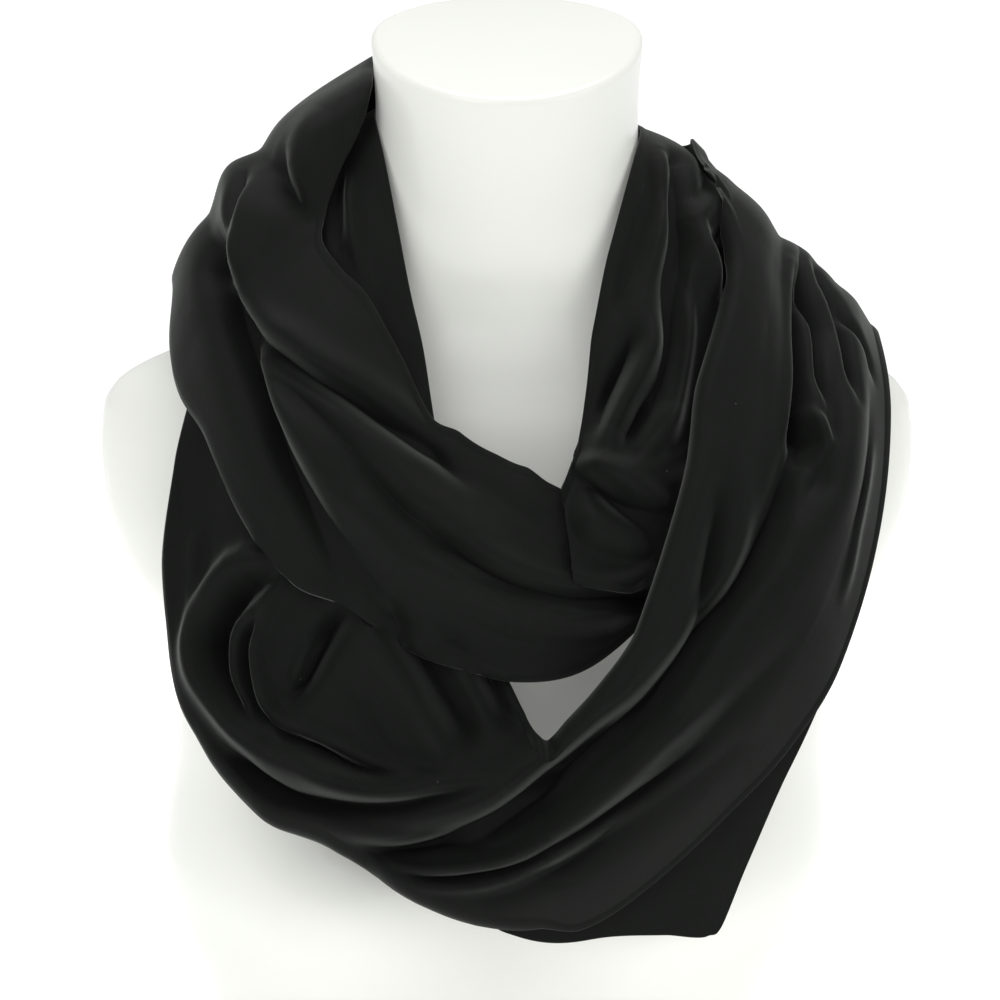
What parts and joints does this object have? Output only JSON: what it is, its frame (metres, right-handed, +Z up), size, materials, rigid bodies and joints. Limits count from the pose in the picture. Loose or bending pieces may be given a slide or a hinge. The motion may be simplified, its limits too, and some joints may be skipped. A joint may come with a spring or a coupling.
{
  "type": "infinity scarf on a dress form",
  "caption": "Black jersey infinity scarf wound twice round the neck of a headless, armless display form, in deep swags over the chest.",
  "frame": {"origin": "middle of the bounding box, on the plane that the form's flat base rests on", "axes": "+Z up through the form's neck, -Y out of the form's chest, +X towards the right of the picture, which is the form's left arm"},
  "size_m": [0.4, 0.3014, 0.5698],
  "materials": {
    "form": "glossy off-white moulded shell",
    "jersey": "fine black knit with a soft sheen along its folds"
  },
  "bodies": {
    "root": {"dress_form": "form", "inner_right": "jersey", "inner_back": "jersey", "inner_left": "jersey", "lower_swag": "jersey", "outer_right": "jersey", "outer_back": "jersey", "upper_swag": "jersey", "under_layer": "jersey"}
  },
  "joints": []
}
